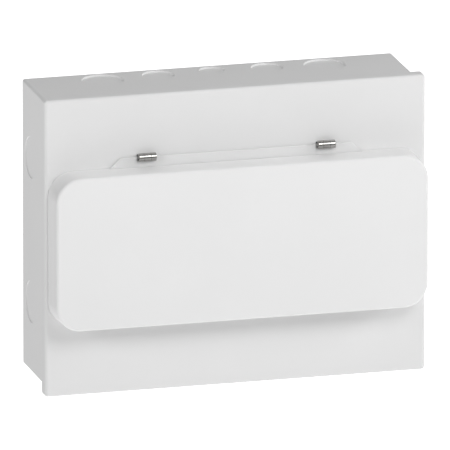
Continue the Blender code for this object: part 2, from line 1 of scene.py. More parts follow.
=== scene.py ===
"""Looks of the breaker panel box: refined sheet metal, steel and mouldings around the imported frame."""

import json
import math

import bmesh
import bpy
from mathutils import Matrix, Vector


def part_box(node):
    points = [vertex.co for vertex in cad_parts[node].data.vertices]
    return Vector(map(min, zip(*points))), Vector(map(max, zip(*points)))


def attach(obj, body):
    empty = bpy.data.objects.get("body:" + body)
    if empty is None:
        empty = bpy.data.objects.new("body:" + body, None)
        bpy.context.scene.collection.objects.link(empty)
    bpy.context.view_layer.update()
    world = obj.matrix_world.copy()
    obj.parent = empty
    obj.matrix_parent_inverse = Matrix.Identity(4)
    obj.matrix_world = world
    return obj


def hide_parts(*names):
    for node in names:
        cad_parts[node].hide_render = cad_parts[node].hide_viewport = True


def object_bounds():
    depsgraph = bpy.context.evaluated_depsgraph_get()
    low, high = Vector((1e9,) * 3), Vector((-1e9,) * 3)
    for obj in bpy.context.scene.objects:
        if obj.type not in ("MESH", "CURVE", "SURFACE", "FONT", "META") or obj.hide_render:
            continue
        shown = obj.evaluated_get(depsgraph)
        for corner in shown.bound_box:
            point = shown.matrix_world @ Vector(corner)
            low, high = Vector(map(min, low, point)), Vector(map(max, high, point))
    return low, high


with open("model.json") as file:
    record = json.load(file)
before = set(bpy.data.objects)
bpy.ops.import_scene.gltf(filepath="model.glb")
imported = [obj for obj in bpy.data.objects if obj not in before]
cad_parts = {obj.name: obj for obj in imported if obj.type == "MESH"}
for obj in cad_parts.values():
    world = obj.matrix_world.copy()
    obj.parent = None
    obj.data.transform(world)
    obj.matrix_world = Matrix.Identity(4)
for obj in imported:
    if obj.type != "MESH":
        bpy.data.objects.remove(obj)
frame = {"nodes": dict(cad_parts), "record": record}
CAD_LOW, CAD_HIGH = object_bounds()

MM = 0.001

# Camera: direction from the object, what a frame width spans and what lies at its centre
CAMERA_AZIMUTH = math.radians(15.07)
CAMERA_ELEVATION = math.radians(15.62)
FRAME_WIDTH = 0.3501
LENS = 1600.0
SENSOR = 36.0
CENTRE_RIGHT = 14.0 * MM
CENTRE_DOWN = 13.6 * MM
CENTRE_DEPTH = 50.0 * MM

# Studio: the sky's even part, what it adds overhead, and the floor's bounce
SKY_EVEN = 0.21
SKY_OVERHEAD = 0.21
SKY_FLOOR_BOUNCE = 1.40
LIGHT_SIZE = 0.8
LIGHT_DISTANCE = 2.0
FLOOR_DROP = 0.05
FLOOR_SIZE = 60.0

# Sheet-metal body, in the same measures as the frame
SHEET = 1.2 * MM
BOX_BEND = 2.0 * MM
COVER_BEND = 2.5 * MM
# Knockouts: depth by the axis they face, soft rim, sheet behind and around the disc, extra boss inside
KNOCKOUT_DEPTH = {"Z": 1.4 * MM, "X": 0.6 * MM}
KNOCKOUT_RIM = 0.5 * MM
KNOCKOUT_SHEET = 0.6 * MM
KNOCKOUT_BOSS = 0.1 * MM
KNOCKOUT_RADIUS = {32: 16.4 * MM, 25: 12.6 * MM, 20: 10.1 * MM}
KNOCKOUT_FROM_WALL = 4.6 * MM
TOP_KNOCKOUTS = ((32, -89.3 * MM), (25, -43.8 * MM), (20, 0.0), (25, 43.8 * MM), (32, 89.3 * MM))
NICK_RADIUS = 0.8 * MM
NICK_FROM_EDGE = 1.0 * MM
SIDE_KNOCKOUT_Z = 58.3 * MM
SIDE_KNOCKOUT_FROM_WALL = 26.3 * MM
FIXING_X = 125.0 * MM
FIXING_Z = 72.0 * MM
KEYHOLE_HEAD = 5.0 * MM
KEYHOLE_NECK = 2.4 * MM
KEYHOLE_RISE = 10.0 * MM
CORNER_RELIEF = 1.6 * MM
COVER_FRONT = -85.4 * MM
WINDOW_X = 107.3 * MM
WINDOW_Z = 22.8 * MM
WINDOW_CORNER = 0.8 * MM
HINGE_SLOT = (-0.3 * MM, 1.7 * MM)
HINGE_SLOT_CORNER = 0.6 * MM
SCREW_HOLE = 2.6 * MM
COVER_SCREW_X = 131.0 * MM
COVER_SCREW_Z = 45.0 * MM
DOOR_SHEET = 1.5 * MM
DOOR_FACE = (298.4 * MM, 123.0 * MM)
DOOR_RIM = (301.0 * MM, 123.8 * MM)
DOOR_CORNER = 20.0 * MM
DOOR_EDGE = 2.0 * MM
DOOR_REAR = COVER_FRONT - 0.3 * MM
DOOR_FRONT = -108.3 * MM
FLANGE_HALF = 100.7 * MM
FLANGE_CUT_BACK = 2.6 * MM
FLANGE_CLEARANCE = 0.9 * MM
HINGE_X = 71.9 * MM
HINGE_Y = -89.1 * MM
HINGE_Z = 69.8 * MM
BARREL_RADIUS = 3.25 * MM
BARREL_LENGTH = 13.7 * MM
BARREL_BORE = 1.8 * MM
CENTRE_KNUCKLE = 4.9 * MM
CENTRE_KNUCKLE_EXTRA = 0.4 * MM
HINGE_PLATE_BELOW = 4.0 * MM
HINGE_LEG_BEHIND = 2.2 * MM
HINGE_LEG_RISE = (0.1 * MM, 1.3 * MM)
PIN_RADIUS = 1.5 * MM
PIN_LENGTH = 15.3 * MM

# Screws: the threaded shank and the cross recess, the recess as parts of the head
SHANK_RADIUS = 1.9 * MM
THREAD_PITCH = 0.7 * MM
THREAD_DEPTH = 0.28 * MM
THREAD_RUN_OUT = 1.2 * MM
RECESS_ARM = 0.62
RECESS_HALF_WIDTH = 0.17
RECESS_DEPTH = 0.62

# Modular devices: body, front details and terminals
MODULE = 17.8 * MM
NOSE_FRONT = -87.4 * MM
NOSE_Z = 22.3 * MM
SHOULDER = -71.0 * MM
DEVICE_Z = 42.5 * MM
DEVICE_REAR = -32.0 * MM
FOOT_Z = 36.0 * MM
FOOT_DEPTH = 3.6 * MM
HOOK_GRIP = 2.0 * MM
SLOT_Z = 9.0 * MM
SLOT_CLEARANCE = 0.5 * MM
REBATE_BORDER = 0.9 * MM
REBATE_Z = 10.4 * MM
REBATE_DEPTH = 0.35 * MM
PLATE_INSET = 2.2 * MM
PLATE_DEPTH = 0.25 * MM
PLATE_SPAN = (13.2 * MM, 20.4 * MM)
FLAG_HALF = 2.2 * MM
FLAG_SPAN = (-19.2 * MM, -16.6 * MM)
FLAG_EDGE = 0.2 * MM
BUTTON_WELL = 3.4 * MM
BUTTON_WELL_DEPTH = 6.0 * MM
BUTTON_DISH_RADIUS = 9.0 * MM
BUTTON_DISH_DEPTH = 0.4 * MM
RAIL_FACE = -27.0 * MM
RAIL_SHEET = 1.0 * MM
RAIL_Z = 17.5 * MM
LEVER_Y = -83.6 * MM
LEVER_DRUM = 5.8 * MM
LEVER_REACH = 15.5 * MM
LEVER_REST = math.radians(40.0)
LEVER_WIDTH = 6.5 * MM
HANDLE_WIDTH = 18.0 * MM
PADDLE_ROOT = 2.0 * MM
PADDLE_TIP = 1.3 * MM
GROOVES = 4
GROOVE_RADIUS = 0.3 * MM
GROOVE_PITCH = 1.3 * MM
FIRST_GROOVE = 2.2 * MM
TERMINAL_Y = -51.5 * MM
TERMINAL_HALF = (4.0 * MM, 4.5 * MM)
TERMINAL_DEPTH = 10.0 * MM
TERMINAL_SCREW = 3.0 * MM
TERMINAL_SCREW_Z = 33.0 * MM
GAP = 0.3 * MM


# ---------------------------------------------------------------- studio


def look_from(azimuth, elevation):
    """The unit vector from the object towards something at these angles, right and up of the front."""
    return Vector(
        (
            math.sin(azimuth) * math.cos(elevation),
            -math.cos(azimuth) * math.cos(elevation),
            math.sin(elevation),
        )
    )


def make_camera():
    """A very long lens, so the view is all but free of perspective."""
    towards = look_from(-CAMERA_AZIMUTH, CAMERA_ELEVATION)
    right = Vector((math.cos(CAMERA_AZIMUTH), -math.sin(CAMERA_AZIMUTH), 0.0))
    up = towards.cross(right)
    centre = right * CENTRE_RIGHT - up * CENTRE_DOWN + towards * CENTRE_DEPTH
    data = bpy.data.cameras.new("camera")
    data.lens = LENS
    data.sensor_width = SENSOR
    data.clip_end = 100.0
    camera = bpy.data.objects.new("camera", data)
    bpy.context.scene.collection.objects.link(camera)
    camera.location = centre + towards * (FRAME_WIDTH * LENS / SENSOR)
    camera.rotation_mode = "QUATERNION"
    camera.rotation_quaternion = (-towards).to_track_quat("-Z", "Y")
    bpy.context.scene.camera = camera


def make_world():
    """An even sky, brighter overhead, with a floor's bounce from below, and white to the camera."""
    world = bpy.data.worlds.new("studio")
    bpy.context.scene.world = world
    world.use_nodes = True
    tree = world.node_tree
    background = tree.nodes["Background"]
    background.inputs["Color"].default_value = (1.0, 1.0, 1.0, 1.0)
    coordinates = tree.nodes.new("ShaderNodeTexCoord")
    split = tree.nodes.new("ShaderNodeSeparateXYZ")
    tree.links.new(coordinates.outputs["Generated"], split.inputs[0])
    strength = tree.nodes.new("ShaderNodeFloatCurve")
    span = tree.nodes.new("ShaderNodeMapRange")
    span.inputs["From Min"].default_value = -1.0
    span.inputs["From Max"].default_value = 1.0
    tree.links.new(split.outputs["Z"], span.inputs["Value"])
    tree.links.new(span.outputs["Result"], strength.inputs["Value"])
    curve = strength.mapping.curves[0]
    strength.mapping.use_clip = False
    curve.points[0].location = (0.0, SKY_EVEN + SKY_FLOOR_BOUNCE)
    curve.points[1].location = (1.0, SKY_EVEN + SKY_OVERHEAD)
    curve.points.new(0.5, SKY_EVEN)
    for point in curve.points:
        point.handle_type = "VECTOR"
    strength.mapping.update()
    tree.links.new(strength.outputs["Value"], background.inputs["Strength"])
    seen = tree.nodes.new("ShaderNodeBackground")
    seen.inputs["Color"].default_value = (1.0, 1.0, 1.0, 1.0)
    path = tree.nodes.new("ShaderNodeLightPath")
    mix = tree.nodes.new("ShaderNodeMixShader")
    tree.links.new(path.outputs["Is Camera Ray"], mix.inputs["Fac"])
    tree.links.new(background.outputs[0], mix.inputs[1])
    tree.links.new(seen.outputs[0], mix.inputs[2])
    tree.links.new(mix.outputs[0], tree.nodes["World Output"].inputs["Surface"])


def make_floor():
    """A white floor below the object. It lights nothing, and glows so that no shadow shows on it."""
    bm = bmesh.new()
    bmesh.ops.create_grid(bm, x_segments=1, y_segments=1, size=FLOOR_SIZE / 2)
    mesh = bpy.data.meshes.new("floor")
    bm.to_mesh(mesh)
    bm.free()
    floor = bpy.data.objects.new("floor", mesh)
    bpy.context.scene.collection.objects.link(floor)
    floor.location.z = CAD_LOW.z - FLOOR_DROP
    material = bpy.data.materials.new("floor")
    material.use_nodes = True
    shader = material.node_tree.nodes["Principled BSDF"]
    shader.inputs["Base Color"].default_value = (0.9, 0.9, 0.9, 1.0)
    shader.inputs["Roughness"].default_value = 0.9
    shader.inputs["Emission Color"].default_value = (1.0, 1.0, 1.0, 1.0)
    shader.inputs["Emission Strength"].default_value = 1.0
    mesh.materials.append(material)
    floor.visible_diffuse = False
    floor.visible_glossy = False
    floor.visible_shadow = False


def soft_light(name, azimuth, elevation, power):
    """A round area light facing the middle of the object; degrees and watts."""
    away = look_from(math.radians(azimuth), math.radians(elevation))
    data = bpy.data.lights.new(name, "AREA")
    data.shape = "DISK"
    data.size = LIGHT_SIZE
    data.energy = power
    light = bpy.data.objects.new(name, data)
    bpy.context.scene.collection.objects.link(light)
    light.location = away * LIGHT_DISTANCE
    light.rotation_mode = "QUATERNION"
    light.rotation_quaternion = away.to_track_quat("Z", "Y")


def make_studio():
    bpy.context.scene.view_settings.view_transform = "Standard"
    make_world()
    make_floor()
    soft_light("key", azimuth=15.0, elevation=35.0, power=10.4)
    soft_light("right_fill", azimuth=65.0, elevation=20.0, power=13.1)
    soft_light("left_fill", azimuth=-60.0, elevation=20.0, power=8.1)


# ---------------------------------------------------------------- materials


class Nodes:
    """Small helper that adds and links shader nodes in one material."""

    def __init__(self, name):
        self.material = bpy.data.materials.new(name)
        self.material.use_nodes = True
        self.tree = self.material.node_tree
        self.shader = self.tree.nodes["Principled BSDF"]
        coordinates = self.tree.nodes.new("ShaderNodeTexCoord")
        self.place = coordinates.outputs["Object"]

    def add(self, kind, **inputs):
        node = self.tree.nodes.new(kind)
        for key, value in inputs.items():
            self.put(node, key.replace("_", " "), value)
        return node

    def put(self, node, key, value):
        if isinstance(value, bpy.types.NodeSocket):
            self.tree.links.new(value, node.inputs[key])
        else:
            node.inputs[key].default_value = value

    def stretched(self, scale):
        mapping = self.add("ShaderNodeMapping", Vector=self.place)
        mapping.inputs["Scale"].default_value = scale
        return mapping.outputs["Vector"]

    def noise(self, scale, detail=2.0, roughness=0.5, vector=None):
        node = self.add(
            "ShaderNodeTexNoise",
            Vector=vector or self.place,
            Scale=scale,
            Detail=detail,
            Roughness=roughness,
        )
        return node.outputs["Fac"]

    def ramp(self, value, stops):
        node = self.add("ShaderNodeValToRGB", Fac=value)
        elements = node.color_ramp.elements
        while len(elements) < len(stops):
            elements.new(0.5)
        for element, (position, colour) in zip(elements, stops):
            element.position = position
            element.color = (*colour, 1.0)
        return node.outputs["Color"]

    def span(self, value, low, high, from_low=0.0, from_high=1.0):
        node = self.add("ShaderNodeMapRange", Value=value)
        node.inputs["From Min"].default_value = from_low
        node.inputs["From Max"].default_value = from_high
        node.inputs["To Min"].default_value = low
        node.inputs["To Max"].default_value = high
        return node.outputs["Result"]

    def mix(self, factor, first, second, blend="MIX"):
        node = self.tree.nodes.new("ShaderNodeMix")
        node.data_type = "RGBA"
        node.blend_type = blend
        for socket, value in ((0, factor), (6, first), (7, second)):
            if isinstance(value, bpy.types.NodeSocket):
                self.tree.links.new(value, node.inputs[socket])
            elif socket == 0:
                node.inputs[socket].default_value = value
            else:
                node.inputs[socket].default_value = (*value, 1.0)
        return node.outputs[2]

    def times(self, first, second):
        node = self.tree.nodes.new("ShaderNodeMath")
        node.operation = "MULTIPLY"
        self.put(node, 0, first)
        self.put(node, 1, second)
        return node.outputs[0]

    def edges(self, low, high):
        """Near 1 on convex edges and 0 elsewhere."""
        geometry = self.tree.nodes.new("ShaderNodeNewGeometry")
        return self.span(geometry.outputs["Pointiness"], 0.0, 1.0, low, high)

    def bump(self, height, strength, distance, below=None):
        node = self.add("ShaderNodeBump", Height=height)
        node.inputs["Strength"].default_value = strength
        node.inputs["Distance"].default_value = distance
        if below:
            self.tree.links.new(below, node.inputs["Normal"])
        return node.outputs["Normal"]

    def finish(self, colour, roughness, normal, metallic=0.0):
        self.put(self.shader, "Base Color", colour)
        self.put(self.shader, "Roughness", roughness)
        self.put(self.shader, "Normal", normal)
        self.shader.inputs["Metallic"].default_value = metallic
        return self.material


def powder_coat(name, tone):
    """White satin powder coat: fine orange peel, faint cloudiness, and slightly thin edges."""
    n = Nodes(name)
    clouds = n.noise(14.0, 3.0, 0.55)
    specks = n.noise(900.0, 2.0, 0.6)
    base = n.ramp(clouds, ((0.30, (tone - 0.008,) * 3), (0.70, (tone + 0.008,) * 3)))
    base = n.mix(n.span(specks, 0.0, 0.05, 0.62, 0.80), base, (0.60, 0.60, 0.60))
    worn = n.times(n.edges(0.56, 0.70), n.span(n.noise(160.0, 4.0, 0.7), 0.0, 0.5, 0.50, 0.72))
    base = n.mix(worn, base, (0.66, 0.665, 0.67))
    rough = n.span(n.noise(55.0, 4.0, 0.6), 0.44, 0.58, 0.3, 0.7)
    peel = n.noise(520.0, 2.0, 0.45)
    grain = n.noise(2600.0, 1.0, 0.5)
    normal = n.bump(grain, 0.05, 0.00002, n.bump(peel, 0.10, 0.00006))
    n.shader.inputs["Specular IOR Level"].default_value = 0.42
    return n.finish(base, rough, normal)


def steel():
    """Bare bright steel with fine drawing lines round the barrel."""
    n = Nodes("polished_steel")
    lines = n.noise(1.0, 4.0, 0.6, n.stretched((120.0, 2600.0, 2600.0)))
    stain = n.noise(90.0, 3.0, 0.6)
    base = n.ramp(stain, ((0.32, (0.36, 0.352, 0.34)), (0.68, (0.44, 0.433, 0.42))))
    base = n.mix(n.edges(0.57, 0.70), base, (0.60, 0.60, 0.59))
    rough = n.span(lines, 0.12, 0.19, 0.3, 0.7)
    return n.finish(base, rough, n.bump(lines, 0.04, 0.00002), 1.0)


def zinc():
    """Bright zinc plating with a faint spangle and a dull bloom."""
    n = Nodes("zinc_plated_steel")
    cells = n.add("ShaderNodeTexVoronoi", Vector=n.place, Scale=420.0)
    bloom = n.noise(70.0, 4.0, 0.65)
    dull, bright, yellowed = (0.55, 0.57, 0.60), (0.66, 0.67, 0.69), (0.70, 0.69, 0.64)
    base = n.ramp(bloom, ((0.30, dull), (0.55, bright), (0.75, yellowed)))
    base = n.mix(0.16, base, cells.outputs["Color"], "SOFT_LIGHT")
    base = n.mix(n.edges(0.56, 0.68), base, (0.80, 0.80, 0.81))
    rough = n.span(bloom, 0.28, 0.46, 0.3, 0.7)
    return n.finish(base, rough, n.bump(n.noise(1500.0, 3.0, 0.6), 0.08, 0.00004), 1.0)


def turned_metal(name, dark, light, bright):
    """Plain machined metal, darker where it has tarnished and bright on its edges."""
    n = Nodes(name)
    tarnish = n.noise(90.0, 5.0, 0.65)
    lines = n.noise(1.0, 3.0, 0.6, n.stretched((300.0, 3200.0, 3200.0)))
    base = n.ramp(tarnish, ((0.30, dark), (0.68, light)))
    base = n.mix(n.edges(0.55, 0.68), base, bright)
    rough = n.span(n.noise(300.0, 4.0, 0.6), 0.24, 0.42, 0.3, 0.7)
    return n.finish(base, rough, n.bump(lines, 0.10, 0.00003), 1.0)


def moulding(name, dark, light, edge, roughness):
    """A spark-textured moulding with a slightly polished and paler edge."""
    n = Nodes(name)
    drift = n.noise(45.0, 3.0, 0.6)
    base = n.ramp(drift, ((0.30, dark), (0.70, light)))
    grit = n.noise(1400.0, 3.0, 0.65)
    base = n.mix(n.span(grit, 0.0, 0.12, 0.60, 0.80), base, dark)
    rub = n.times(n.edges(0.54, 0.66), n.span(n.noise(220.0, 4.0, 0.7), 0.1, 0.7, 0.40, 0.70))
    base = n.mix(rub, base, edge)
    rough = n.span(n.noise(120.0, 4.0, 0.6), roughness - 0.07, roughness + 0.07, 0.3, 0.7)
    return n.finish(base, rough, n.bump(grit, 0.14, 0.00005))


def lens():
    """The smooth tinted window over a device's position flag."""
    n = Nodes("flag_window")
    haze = n.noise(700.0, 3.0, 0.6)
    base = n.ramp(haze, ((0.35, (0.05, 0.30, 0.12)), (0.70, (0.07, 0.38, 0.16))))
    rough = n.span(haze, 0.10, 0.22, 0.3, 0.7)
    return n.finish(base, rough, n.bump(haze, 0.04, 0.00002))


make_camera()
make_studio()

COAT = powder_coat("white_powder_coat", 0.795)
# The door's coat is a lighter copy of the cover's coat. It is painted light that makes the door's face
# brighter than the cover's.
DOOR_COAT_PAINTED_BRIGHTER = powder_coat("white_powder_coat_door_painted_brighter", 0.838)
STEEL = steel()
ZINC = zinc()
BRASS = turned_metal("brass", (0.55, 0.38, 0.17), (0.78, 0.60, 0.31), (0.88, 0.74, 0.46))
COPPER = turned_metal("tinned_copper", (0.55, 0.36, 0.27), (0.80, 0.56, 0.43), (0.86, 0.72, 0.64))
CASE = moulding("light_grey_plastic", (0.67, 0.68, 0.69), (0.74, 0.75, 0.76), (0.82, 0.82, 0.83), 0.46)
BLACK = moulding("black_plastic", (0.030, 0.031, 0.034), (0.052, 0.053, 0.057), (0.14, 0.14, 0.145), 0.36)
RED = moulding("red_plastic", (0.46, 0.022, 0.018), (0.58, 0.040, 0.030), (0.70, 0.16, 0.13), 0.34)
YELLOW = moulding("yellow_plastic", (0.72, 0.50, 0.03), (0.82, 0.61, 0.05), (0.90, 0.76, 0.30), 0.36)
HOLDER = moulding("blue_grey_plastic", (0.19, 0.26, 0.37), (0.25, 0.33, 0.45), (0.42, 0.49, 0.58), 0.46)
SHROUD = moulding("grey_plastic", (0.31, 0.32, 0.34), (0.38, 0.39, 0.41), (0.52, 0.53, 0.54), 0.50)
WINDOW = lens()

FINISH = {
    "white_powder_coat": COAT,
    "polished_steel": STEEL,
    "zinc_plated_steel": ZINC,
    "brass": BRASS,
    "tinned_copper": COPPER,
    "light_grey_plastic": CASE,
    "black_plastic": BLACK,
    "red_plastic": RED,
    "yellow_plastic": YELLOW,
    "blue_grey_plastic": HOLDER,
    "grey_plastic": SHROUD,
}
SLOT_OF = {row["node"]: row["material_slot"] for row in frame["record"]["subparts"]}
BODY_OF = {node: body for body, nodes in frame["record"]["behaviour"]["bodies"].items() for node in nodes}


# ---------------------------------------------------------------- mesh helpers


def link(name, mesh):
    obj = bpy.data.objects.new(name, mesh)
    bpy.context.scene.collection.objects.link(obj)
    return obj


def mesh_from(bm, name):
    mesh = bpy.data.meshes.new(name)
    bm.to_mesh(mesh)
    bm.free()
    return mesh


def bake(obj):
    """Turns an object's modifiers into its mesh."""
    graph = bpy.context.evaluated_depsgraph_get()
    mesh = bpy.data.meshes.new_from_object(obj.evaluated_get(graph))
    obj.modifiers.clear()
    obj.data = mesh
    return obj


def taken(obj):
    """An object's mesh as a bmesh, the object itself removed."""
    bm = bmesh.new()
    bm.from_mesh(obj.data)
    bpy.data.objects.remove(obj)
    return bm


def move(bm, matrix):
    bmesh.ops.transform(bm, matrix=matrix, verts=bm.verts)


def cube_bm(low, high, radius=0.0, segments=3):
    """A block between two corners, its edges rounded if a radius is given."""
    low, high = Vector(low), Vector(high)
    bm = bmesh.new()
    bmesh.ops.create_cube(bm, size=1.0)
    bmesh.ops.scale(bm, vec=high - low, verts=bm.verts)
    bmesh.ops.translate(bm, vec=(low + high) / 2, verts=bm.verts)
    if radius:
        bmesh.ops.bevel(
            bm, geom=bm.edges[:], offset=radius, segments=segments, profile=0.5, affect="EDGES"
        )
    return bm


TURN = {
    "X": Matrix.Rotation(math.pi / 2, 4, "Y"),
    "Y": Matrix.Rotation(math.pi / 2, 4, "X"),
    "Z": Matrix.Identity(4),
}


def rod_bm(radius, length, centre, axis, segments=48, rounding=0.0):
    bm = bmesh.new()
    bmesh.ops.create_cone(
        bm, cap_ends=True, segments=segments, radius1=radius, radius2=radius, depth=length
    )
    if rounding:
        rims = [e for e in bm.edges if abs(e.verts[0].co.z - e.verts[1].co.z) < 1e-7]
        bmesh.ops.bevel(bm, geom=rims, offset=rounding, segments=3, profile=0.5, affect="EDGES")
    move(bm, Matrix.Translation(centre) @ TURN[axis])
    return bm


def spun_bm(profile, segments):
    """(radius, along) points turned about Z, the profile starting and ending on the axis or closed."""
    bm = bmesh.new()
    verts = [bm.verts.new((radius, 0.0, along)) for radius, along in profile]
    edges = [bm.edges.new(pair) for pair in zip(verts, verts[1:])]
    bmesh.ops.spin(
        bm,
        geom=verts + edges,
        cent=(0.0, 0.0, 0.0),
        axis=(0.0, 0.0, 1.0),
        angle=2 * math.pi,
        steps=segments,
        use_duplicate=False,
    )
    bmesh.ops.remove_doubles(bm, verts=bm.verts, dist=1e-6)
    bmesh.ops.recalc_face_normals(bm, faces=bm.faces)
    return bm


def prism_bm(points, low, high, axis):
    """An outline swept along an axis: (y, z) points along X, or (x, z) points along Y."""
    bm = bmesh.new()
    if axis == "X":
        ring = [bm.verts.new((low, y, z)) for y, z in points]
        sweep = Vector((high - low, 0.0, 0.0))
    else:
        ring = [bm.verts.new((x, low, z)) for x, z in points]
        sweep = Vector((0.0, high - low, 0.0))
    face = bm.faces.new(ring)
    swept = bmesh.ops.extrude_face_region(bm, geom=[face])
    moved = [item for item in swept["geom"] if isinstance(item, bmesh.types.BMVert)]
    bmesh.ops.translate(bm, vec=sweep, verts=moved)
    bmesh.ops.recalc_face_normals(bm, faces=bm.faces)
    return bm


def boolean(obj, bms, operation="DIFFERENCE"):
    """Cuts the given meshes out of the object, or joins them to it, all in one step."""
    joined = bmesh.new()
    for bm in bms:
        mesh = mesh_from(bm, "tool")
        joined.from_mesh(mesh)
        bpy.data.meshes.remove(mesh)
    tool = link("tool", mesh_from(joined, "tool"))
    modifier = obj.modifiers.new("tool", "BOOLEAN")
    modifier.operation = operation
    modifier.object = tool
    modifier.solver = "EXACT"
    modifier.use_self = True
    bake(obj)
    bpy.data.objects.remove(tool)
    return clean(obj)


def clean(obj):
    """Merges points that a Boolean or a bevel leaves together, and drops faces without area."""
    bm = bmesh.new()
    bm.from_mesh(obj.data)
    closest = 0.002 * MM
    bmesh.ops.remove_doubles(bm, verts=bm.verts, dist=closest)
    bmesh.ops.dissolve_degenerate(bm, dist=closest, edges=bm.edges)
    bm.to_mesh(obj.data)
    bm.free()
    return obj


def soften(obj, width, segments=2, angle=38.0):
    """Rounds every edge sharper than the angle, and shades the piece smooth."""
    modifier = obj.modifiers.new("edges", "BEVEL")
    modifier.width = width
    modifier.segments = segments
    modifier.limit_method = "ANGLE"
    modifier.angle_limit = math.radians(angle)
    modifier.use_clamp_overlap = True
    modifier.miter_outer = "MITER_ARC"
    return shade(clean(bake(obj)))


def shade(obj, angle=35.0):
    mesh = obj.data
    for face in mesh.polygons:
        face.use_smooth = True
    mesh.set_sharp_from_angle(angle=math.radians(angle))
    return obj


def weigh_normals(obj):
    """Keeps flat faces flat next to their rounded edges."""
    modifier = obj.modifiers.new("normals", "WEIGHTED_NORMAL")
    modifier.keep_sharp = True
    modifier.weight = 80
    return bake(obj)


def settle(obj, node, finish=None):
    """Gives a piece the finish and the body, and hides the CAD node that it stands for."""
    slot = SLOT_OF[node]
    obj.data.materials.clear()
    obj.data.materials.append(finish or FINISH[slot])
    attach(obj, BODY_OF[node])
    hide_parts(node)
    return obj


# ---------------------------------------------------------------- sheet metal


def pan(name, low, high, open_side, bend, thickness):
    """A folded tray between two corners, open towards one Y side, with rounded folds."""
    bm = cube_bm(low, high)
    lid = [f for f in bm.faces if f.normal.y * open_side > 0.9]
    bmesh.ops.delete(bm, geom=lid, context="FACES_ONLY")
    folds = [e for e in bm.edges if not e.is_boundary]
    bmesh.ops.bevel(bm, geom=folds, offset=bend, segments=8, profile=0.5, affect="EDGES")
    return thicken(link(name, mesh_from(bm, name)), thickness)


def thicken(obj, thickness):
    modifier = obj.modifiers.new("sheet", "SOLIDIFY")
    modifier.thickness = thickness
    modifier.offset = -1.0
    modifier.use_even_offset = True
    return bake(obj)


def inward(centre, axis):
    """The unit vector from a knockout's face into the box."""
    if axis == "Z":
        return Vector((0.0, 0.0, -math.copysign(1.0, centre.z)))
    return Vector((-math.copysign(1.0, centre.x), 0.0, 0.0))


def knockout(radius, centre, axis):
    """The cutter of one knockout: a disc pressed in from the outside, its rim softened."""
    depth, rim = KNOCKOUT_DEPTH[axis], KNOCKOUT_RIM
    flare = radius + rim
    profile = [(0.0, -depth), (radius, -depth), (radius, -rim)]
    profile += [(flare, rim), (flare, 2 * rim), (0.0, 2 * rim)]
    bm = spun_bm(profile, 72)
    turn = (-inward(centre, axis)).to_track_quat("Z", "Y").to_matrix().to_4x4()
    move(bm, Matrix.Translation(centre) @ turn)
    return bm


def pressed_disc(radius, centre, axis):
    """What a knockout's disc and its rim show on the inside of the box."""
    near, far = SHEET / 2, KNOCKOUT_DEPTH[axis] + KNOCKOUT_SHEET + KNOCKOUT_BOSS
    at = centre + inward(centre, axis) * (near + far) / 2
    return rod_bm(radius + KNOCKOUT_SHEET, far - near, at, axis, 72)


def knockout_places():
    low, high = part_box("back_box")
    for z in (high[2], low[2]):
        for cable, x in TOP_KNOCKOUTS:
            radius = KNOCKOUT_RADIUS[cable]
            yield radius, Vector((x, -KNOCKOUT_FROM_WALL - radius, z)), "Z"
    for x in (low[0], high[0]):
        for z in (-SIDE_KNOCKOUT_Z, SIDE_KNOCKOUT_Z):
            yield KNOCKOUT_RADIUS[32], Vector((x, -SIDE_KNOCKOUT_FROM_WALL, z)), "X"


def nick(radius, centre, axis):
    """The small hole that the punch leaves at one end of a knockout."""
    reach = radius - NICK_FROM_EDGE
    at = centre + Vector((reach, 0.0, 0.0) if axis == "Z" else (0.0, -reach, 0.0))
    return rod_bm(NICK_RADIUS, 4 * MM, at, axis, 16)


def keyhole(x, z):
    """The cutter of a wall fixing: a round hole with a slot that rises from it."""
    top = z + KEYHOLE_RISE - KEYHOLE_NECK
    hole = link("keyhole", mesh_from(rod_bm(KEYHOLE_HEAD, 6 * MM, (x, 0.0, z), "Y", 40), "keyhole"))
    boolean(hole, [cube_bm((x - KEYHOLE_NECK, -3 * MM, z), (x + KEYHOLE_NECK, 3 * MM, top))], "UNION")
    boolean(hole, [rod_bm(KEYHOLE_NECK, 6 * MM, (x, 0.0, top), "Y", 24)], "UNION")
    return taken(hole)


def back_box():
    low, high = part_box("back_box")
    box = pan("box_shell", low, high, -1, BOX_BEND, SHEET)
    places = list(knockout_places())
    boolean(box, [pressed_disc(*place) for place in places], "UNION")
    boolean(box, [knockout(*place) for place in places])
    boolean(box, [nick(*place) for place in places])
    keyholes = []
    reliefs = []
    relief = Vector((CORNER_RELIEF, CORNER_RELIEF, CORNER_RELIEF))
    for side in (-1, 1):
        for row in (-1, 1):
            keyholes.append(keyhole(side * FIXING_X, row * FIXING_Z))
            corner = Vector((side * high[0], 0.0, row * high[2]))
            reliefs.append(cube_bm(corner - relief, corner + relief))
    boolean(box, keyholes + reliefs)
    return settle(weigh_normals(shade(box)), "back_box")


def rounded_hole(low, high, corner):
    """The cutter of a rectangular hole along Y, its corners rounded."""
    bm = cube_bm(low, high)
    along_y = [e for e in bm.edges if abs(e.verts[0].co.y - e.verts[1].co.y) > MM]
    bmesh.ops.bevel(bm, geom=along_y, offset=corner, segments=4, profile=0.5, affect="EDGES")
    return bm


